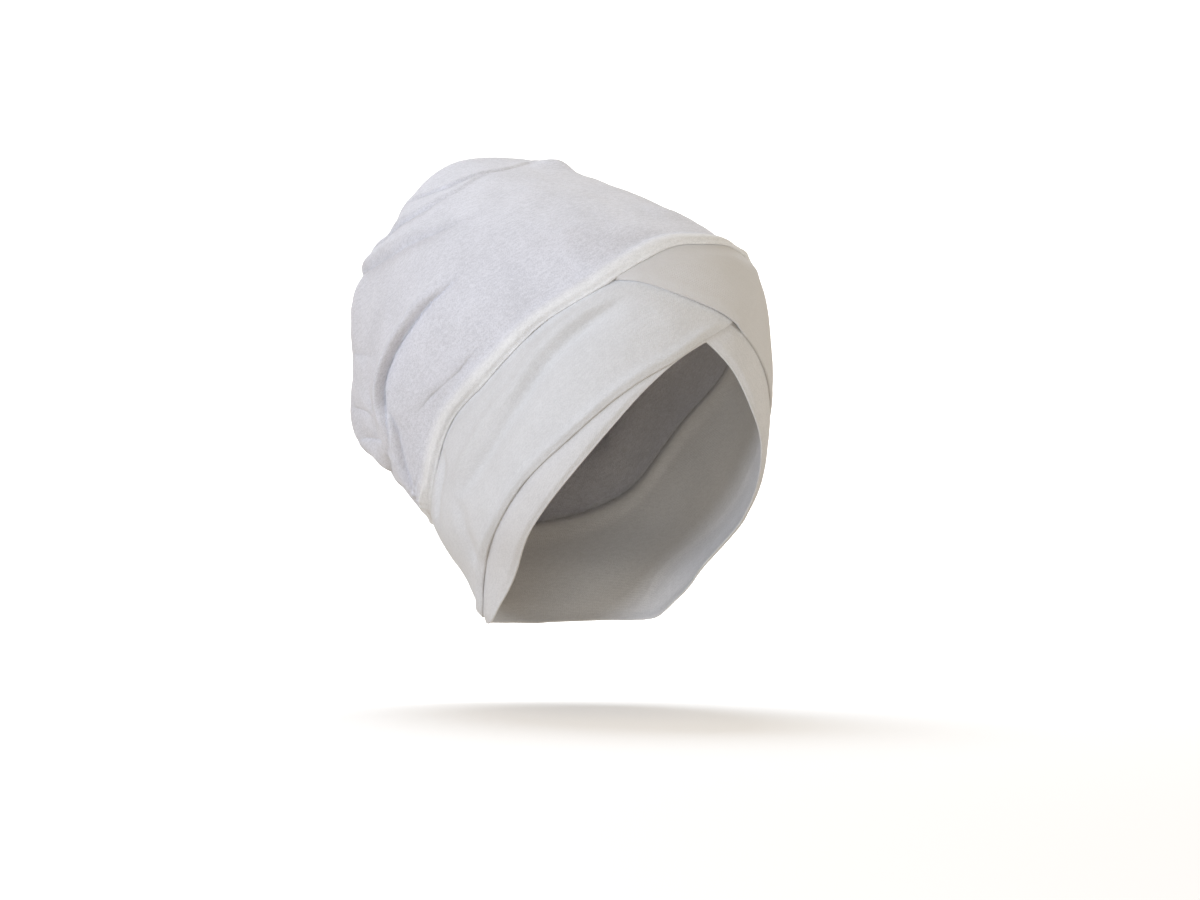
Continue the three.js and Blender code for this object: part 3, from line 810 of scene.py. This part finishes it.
class Socket:
    """A socket of a material's node tree. Arithmetic on it adds Math nodes to the tree."""

    def __init__(self, tree, socket=None):
        self.tree, self.socket = tree, socket

    def node(self, kind, settings, sockets, output=0):
        """Adds a node: its settings are set first, then the values or links of its sockets."""
        made = self.tree.nodes.new(kind)
        for key, value in settings.items():
            setattr(made, key, value)
        for key, value in sockets.items():
            if isinstance(value, Socket):
                self.tree.links.new(value.socket, made.inputs[key])
            else:
                made.inputs[key].default_value = value
        return Socket(self.tree, made.outputs[output]) if len(made.outputs) else None

    def math(self, operation, *values):
        return self.node("ShaderNodeMath", {"operation": operation}, dict(enumerate(values)))

    def __add__(self, other):
        return self.math("ADD", self, other)

    __radd__ = __add__

    def __sub__(self, other):
        return self.math("SUBTRACT", self, other)

    def __rsub__(self, other):
        return self.math("SUBTRACT", other, self)

    def __mul__(self, other):
        return self.math("MULTIPLY", self, other)

    __rmul__ = __mul__

    def __truediv__(self, other):
        return self.math("DIVIDE", self, other)

    def __mod__(self, other):
        return self.math("FLOORED_MODULO", self, other)

    def __abs__(self):
        return self.math("ABSOLUTE", self)

    def sine(self):
        return self.math("SINE", self)

    def step(self, low, high):
        """Smooth step from 0 at low to 1 at high."""
        return self.node(
            "ShaderNodeMapRange", {"interpolation_type": "SMOOTHSTEP"},
            {"Value": self, "From Min": low, "From Max": high},
        )

    def axis(self, name):
        return self.node("ShaderNodeSeparateXYZ", {}, {"Vector": self}, name)

    def blend(self, first, second):
        """Colour that goes from first to second as this factor goes from 0 to 1."""
        return self.node("ShaderNodeMix", {"data_type": "RGBA"}, {0: self, 6: first, 7: second}, 2)

    def noise(self, scale, detail, roughness=0.5):
        """Noise over this vector."""
        return self.node(
            "ShaderNodeTexNoise", {"noise_dimensions": "3D"},
            {"Vector": self, "Scale": scale, "Detail": detail, "Roughness": roughness}, 0,
        )


def shade(colour, factor):
    """A colour with its three parts scaled, as a socket's default value."""
    return (*(part * factor for part in colour), 1.0)


# Share of its brightness that each cloth loses between its fibres
CROWN_GRAIN = 0.24
BAND_GRAIN = 0.14
LEFT_GRAIN = 0.05

# The welt's colour, paler than the crown: partly the cream of its doubled cloth, partly painted highlight of
# the light its raised fold catches. The distances from the edge, in metres, over which it ends, and the
# share of the grain kept on it, which lightens it further
RIM_FADE = (0.005, 0.0125)
WELT_GRAIN_SHARE = 0.75

# Knit: pitch of the courses and slant of the loops, both in wales, and the painted shade in the gaps between
# the loops
COURSE_PITCH = 0.8
LOOP_SLANT = 0.5
LOOP_SHADE = 0.6
SHADE_SHARE = 0.05
KNIT_RELIEF = 0.4

# Nap: how much slubs are drawn out, the noises' scales per metre, and their shares in the grain
SLUB_DRAW = 0.45
SLUB_SCALE = 600.0
FIBRE_SCALE = 1300.0
MOTTLE_SCALE = 42.0
NAP_ROUGHNESS = 0.6
SLUB_SHARE = 0.45
MOTTLE_SHARE = 0.2
GRAIN_STEP = (0.34, 0.66)

# Finish: how matt the cloth is, more so where it is mottled and less so on the loops
MATT = 0.86
MATT_MOTTLE = 0.1
MATT_LOOPS = 0.03
SHEEN_COLOUR = (1.0, 0.99, 0.98, 1.0)


def jersey(name, colour, grain_depth, sizes, rim=None):
    """Brushed cotton jersey; rim is the colour of a welt along the cloth's edge, which is partly its own
    paler tone and partly painted highlight.
    """
    material = bpy.data.materials.new(name)
    material.use_nodes = True
    tree = material.node_tree
    tree.nodes.clear()
    start = Socket(tree)
    cloth = start.node("ShaderNodeUVMap", {"uv_map": UV_NAME}, {})
    place = start.node("ShaderNodeTexCoord", {}, {}, "Object")
    u, v = cloth.axis("X"), cloth.axis("Y")

    # Knit: each wale is a column of slanted loops
    wale, course = u / sizes.knit_pitch, v / (sizes.knit_pitch * COURSE_PITCH)
    side = abs((wale % 1.0) * 2.0 - 1.0)
    loops = ((course + side * LOOP_SLANT) * (2 * math.pi)).sine() * 0.5 + 0.5
    knit = loops * (1.0 - side * side)

    # Slubs run along the courses, and loose fibres lie over them
    stretched = start.node("ShaderNodeCombineXYZ", {}, {"X": u * SLUB_DRAW, "Y": v})
    slub = stretched.noise(SLUB_SCALE, 3.0, NAP_ROUGHNESS)
    fibre = place.noise(FIBRE_SCALE, 2.0, NAP_ROUGHNESS)
    mottle = place.noise(MOTTLE_SCALE, 3.0)
    grain = slub * SLUB_SHARE + fibre * (1 - SLUB_SHARE)

    base = shade(colour, 1.0)
    worn = shade(colour, 1.0 - grain_depth)
    # The welt is paler: partly the cream of its doubled cloth, partly painted highlight of the light the
    # raised welt catches
    if rim:
        inside = abs(v).step(*RIM_FADE)
        base = inside.blend(shade(rim, 1.0), base)
        worn = inside.blend(shade(rim, 1.0 - grain_depth * WELT_GRAIN_SHARE), worn)
    soft = (grain * (1 - MOTTLE_SHARE) + mottle * MOTTLE_SHARE).step(*GRAIN_STEP)
    thread = soft.blend(worn, base)
    # Painted shade in the gaps between the loops, darkest where the knit is lowest
    painted_loop_shade = (1.0 - knit) * SHADE_SHARE
    final = painted_loop_shade.blend(thread, shade(colour, LOOP_SHADE))
    height = knit * KNIT_RELIEF + grain
    normal = start.node(
        "ShaderNodeBump", {}, {"Strength": 1.0, "Distance": sizes.nap_height, "Height": height}
    )
    rough = MATT + mottle * MATT_MOTTLE - knit * MATT_LOOPS
    finish = start.node("ShaderNodeBsdfPrincipled", {}, {
        "Base Color": final, "Roughness": rough, "Normal": normal, "Specular IOR Level": 0.25,
        "Sheen Weight": 0.25, "Sheen Roughness": 0.5, "Sheen Tint": SHEEN_COLOUR,
    })
    start.node("ShaderNodeOutputMaterial", {}, {"Surface": finish})
    return material


def plain(name, colour, glow):
    """Even, matt finish of the stage."""
    material = bpy.data.materials.new(name)
    material.use_nodes = True
    finish = material.node_tree.nodes["Principled BSDF"]
    finish.inputs["Base Color"].default_value = (*colour, 1.0)
    finish.inputs["Roughness"].default_value = 0.9
    finish.inputs["Specular IOR Level"].default_value = 0.0
    finish.inputs["Emission Color"].default_value = (1.0, 1.0, 1.0, 1.0)
    finish.inputs["Emission Strength"].default_value = glow
    return material


def colour_of(name, description, default):
    return FloatVectorProperty(
        name=name, description=description, subtype="COLOR", size=3, min=0.0, max=1.0, default=default
    )


def length_of(name, description, default):
    return FloatProperty(
        name=name, description=description, unit="LENGTH", min=0.0, precision=5, default=default
    )


class UndercapSizes(bpy.types.PropertyGroup):
    """Sizes of the cloth."""

    crown_cloth: length_of("Crown cloth", "Thickness of the crown's jersey", 0.0012)
    band_cloth: length_of("Band cloth", "Thickness of the doubled jersey of the two bands", 0.0015)
    under_cloth: length_of("Under cloth", "Thickness of the under band's jersey", 0.0012)
    welt_height: length_of("Welt height", "How far the welt along the crown's edge stands up", 0.0018)
    knit_pitch: length_of("Knit pitch", "Width of one column of knitted loops", 0.0012)
    nap_height: length_of("Nap height", "Depth of the knit and of its brushed fibres", 0.00022)
    fold_depth: FloatProperty(
        name="Fold depth", description="How deep the crown's folds are", subtype="FACTOR",
        min=0.0, max=1.5, default=1.0,
    )


class UndercapColours(bpy.types.PropertyGroup):
    """Colours of the cloth and of the stage."""

    crown: colour_of("Crown", "Cool white of the crown", (0.8, 0.8, 0.85))
    # Welt: paler than the crown, partly the cream of its doubled cloth and partly painted highlight of the
    # light the raised welt catches
    welt: colour_of("Welt", "White of the crown's welt", (0.9, 0.895, 0.89))
    right_band: colour_of("Right band", "White of the right band", (0.77, 0.77, 0.78))
    # The left band's darker, warmer white is painted shade: it is the same jersey as the right band,
    # darkened and warmed where it faces away from the lamps
    left_band: colour_of("Left band", "Warm white of the left band", (0.71, 0.695, 0.685))
    under: colour_of("Under band", "White of the under band", (0.76, 0.75, 0.75))
    floor: colour_of("Floor", "Pale floor and backdrop", (0.92, 0.92, 0.92))


class UNDERCAP_OT_crown(bpy.types.Operator):
    """Make the crown with its welt, folds and gathers"""

    bl_idname = "undercap.crown"
    bl_label = "Make the crown"

    def execute(self, context):
        sizes, colours = context.scene.undercap_sizes, context.scene.undercap_colours
        finish = jersey("crown jersey", colours.crown, CROWN_GRAIN, sizes, colours.welt)
        piece = make_crown(sizes, finish)
        declare(
            piece, "crown",
        )
        return {"FINISHED"}


class UNDERCAP_OT_bands(bpy.types.Operator):
    """Make the right and the left band, which cross at the front"""

    bl_idname = "undercap.bands"
    bl_label = "Make the two bands"

    def execute(self, context):
        sizes, colours = context.scene.undercap_sizes, context.scene.undercap_colours
        cloth = sizes.band_cloth / MM
        finish = jersey("right band jersey", colours.right_band, BAND_GRAIN, sizes)
        count = round((BACK_ANGLE + TIP_ANGLE) / BAND_STEP)
        angles = np.linspace(-BACK_ANGLE, TIP_ANGLE, count)
        piece = make_band("right_band_cloth", angles, False, right_hem, cloth, right_stand, finish)
        declare(
            piece, "right_band",
        )
        # The left band's colour carries painted shade of its side away from the lamps
        finish = jersey("left band painted-shade jersey", colours.left_band, LEFT_GRAIN, sizes)
        angles = np.linspace(-TIP_ANGLE, BACK_ANGLE, count)
        piece = make_band("left_band_cloth", angles, False, left_hem, cloth, left_stand, finish)
        declare(
            piece, "left_band",
        )
        return {"FINISHED"}


class UNDERCAP_OT_under_band(bpy.types.Operator):
    """Make the under band that lies inside the two bands"""

    bl_idname = "undercap.under_band"
    bl_label = "Make the under band"

    def execute(self, context):
        sizes, colours = context.scene.undercap_sizes, context.scene.undercap_colours
        finish = jersey("under band jersey", colours.under, BAND_GRAIN, sizes)
        angles = np.linspace(-180, 180, round(360 / BAND_STEP) + 1)[:-1]
        cloth = sizes.under_cloth / MM
        piece = make_band("under_band_cloth", angles, True, under_edge, cloth, under_stand, finish)
        declare(
            piece, "under_band",
        )
        return {"FINISHED"}


# Stage, in metres: the viewing direction, the floor and the camera
VIEW_ANGLE = math.radians(31)
SIDEWAYS = Vector((math.cos(VIEW_ANGLE), -math.sin(VIEW_ANGLE), 0))
TOWARDS = Vector((-math.sin(VIEW_ANGLE), -math.cos(VIEW_ANGLE), 0))
UPWARDS = Vector((0, 0, 1))
AIM = Vector((0.0051, 0.02194, -0.13704))
CAMERA_DISTANCE = 2.4
CAMERA_LENS = 133.2
CAMERA_SENSOR = 36
FLOOR_HEIGHT = -0.2765
FLOOR_FRONT = 3.0
FLOOR_BACK = 1.6
FLOOR_HALF = 4.0
SWEEP_RADIUS = 1.2
SWEEP_STEPS = 24
WALL_HEIGHT = 3.0

# Lights: place by the camera's axes from the aim point, size, power in watts, colour, and how far
# before the aim point the light is pointed
Lamp = namedtuple("Lamp", "name sideways upwards towards size power colour ahead")
LAMPS = (
    Lamp("left key", -1.7, 0.6, 1.3, 1.2, 9.5, (0.74, 0.82, 1.0), 0),
    Lamp("low left", -1.3, 0.12, 1.6, 0.4, 15.5, (0.72, 0.82, 1.0), 0),
    Lamp("front", -0.3, 0.1, 2.2, 0.8, 7.0, (0.76, 0.89, 1.0), 0),
    Lamp("right side", 2.0, 0.12, 0.2, 0.45, 10.0, (0.86, 0.93, 1.0), 0),
    Lamp("high back", -0.3, 1.7, -1.1, 1.2, 23.0, (0.76, 0.86, 1.0), 0),
    Lamp("backdrop", 0.0, 1.3, -0.9, 1.6, 42.0, (1.0, 1.0, 1.0), -2.8),
)

# Warm light from all round, which fills the shade of the cool lamps, and the floor's own light
AMBIENT = (1.0, 0.86, 0.67, 1.0)
AMBIENT_STRENGTH = 0.5
FLOOR_GLOW = 0.25


def make_floor(colour):
    """Pale floor that sweeps up into a backdrop."""
    turns = np.linspace(0, math.pi / 2, SWEEP_STEPS)
    profile = [(FLOOR_FRONT, 0.0)]
    profile += [(-FLOOR_BACK - SWEEP_RADIUS * math.sin(t), SWEEP_RADIUS * (1 - math.cos(t))) for t in turns]
    profile.append((-FLOOR_BACK - SWEEP_RADIUS, WALL_HEIGHT))
    foot = Vector((AIM.x, AIM.y, FLOOR_HEIGHT))
    points = [
        foot + TOWARDS * near + UPWARDS * high + SIDEWAYS * side
        for near, high in profile for side in (-FLOOR_HALF, FLOOR_HALF)
    ]
    faces = [(2 * i, 2 * i + 1, 2 * i + 3, 2 * i + 2) for i in range(len(profile) - 1)]
    mesh = bpy.data.meshes.new("floor")
    mesh.from_pydata(points, [], faces)
    mesh.shade_smooth()
    mesh.materials.append(plain("floor paint", colour, FLOOR_GLOW))
    floor = bpy.data.objects.new("floor", mesh)
    # The floor throws no light up at the cloth, where it would wash out the folds
    floor.visible_diffuse = False
    bpy.context.scene.collection.objects.link(floor)


def add_lamp(lamp):
    """A soft round light."""
    light = bpy.data.lights.new(lamp.name, "AREA")
    light.shape, light.size = "DISK", lamp.size
    light.energy, light.color = lamp.power, lamp.colour
    made = bpy.data.objects.new(lamp.name, light)
    offset = SIDEWAYS * lamp.sideways + UPWARDS * lamp.upwards + TOWARDS * lamp.towards
    made.location = AIM + offset
    made.rotation_euler = (TOWARDS * lamp.ahead - offset).to_track_quat("-Z", "Y").to_euler()
    bpy.context.scene.collection.objects.link(made)


def add_camera():
    """The camera, level with the aim point."""
    camera = bpy.data.cameras.new("camera")
    camera.lens, camera.sensor_width = CAMERA_LENS, CAMERA_SENSOR
    made = bpy.data.objects.new("camera", camera)
    made.location = AIM + TOWARDS * CAMERA_DISTANCE
    made.rotation_euler = (-TOWARDS).to_track_quat("-Z", "Y").to_euler()
    bpy.context.scene.collection.objects.link(made)
    bpy.context.scene.camera = made


class UNDERCAP_OT_stage(bpy.types.Operator):
    """Set up the pale floor, the soft lights and the camera"""

    bl_idname = "undercap.stage"
    bl_label = "Set up the stage"

    def execute(self, context):
        add_camera()
        make_floor(context.scene.undercap_colours.floor)
        for lamp in LAMPS:
            add_lamp(lamp)
        world = bpy.data.worlds.new("studio")
        world.use_nodes = True
        sky = world.node_tree.nodes["Background"]
        sky.inputs["Color"].default_value = AMBIENT
        sky.inputs["Strength"].default_value = AMBIENT_STRENGTH
        context.scene.world = world
        context.scene.view_settings.view_transform = "Standard"
        return {"FINISHED"}


class UNDERCAP_PT_panel(bpy.types.Panel):
    """Sizes, colours and steps of the undercap"""

    bl_idname = "UNDERCAP_PT_panel"
    bl_label = "Undercap"
    bl_space_type = "VIEW_3D"
    bl_region_type = "UI"
    bl_category = "Undercap"

    def draw(self, context):
        for group in (context.scene.undercap_sizes, context.scene.undercap_colours):
            box = self.layout.box()
            for name in group.bl_rna.properties.keys():
                if name not in ("name", "rna_type"):
                    box.prop(group, name)
        for step in STEPS:
            self.layout.operator(step.bl_idname)


STEPS = (UNDERCAP_OT_stage, UNDERCAP_OT_under_band, UNDERCAP_OT_bands, UNDERCAP_OT_crown)
CLASSES = (UndercapSizes, UndercapColours, *STEPS, UNDERCAP_PT_panel)


def register():
    for made in CLASSES:
        bpy.utils.register_class(made)
    bpy.types.Scene.undercap_sizes = PointerProperty(type=UndercapSizes)
    bpy.types.Scene.undercap_colours = PointerProperty(type=UndercapColours)


def unregister():
    del bpy.types.Scene.undercap_colours
    del bpy.types.Scene.undercap_sizes
    for made in reversed(CLASSES):
        bpy.utils.unregister_class(made)


def main():
    register()
    bpy.ops.undercap.stage()
    bpy.ops.undercap.under_band()
    bpy.ops.undercap.bands()
    bpy.ops.undercap.crown()


if __name__ == "__main__":
    main()
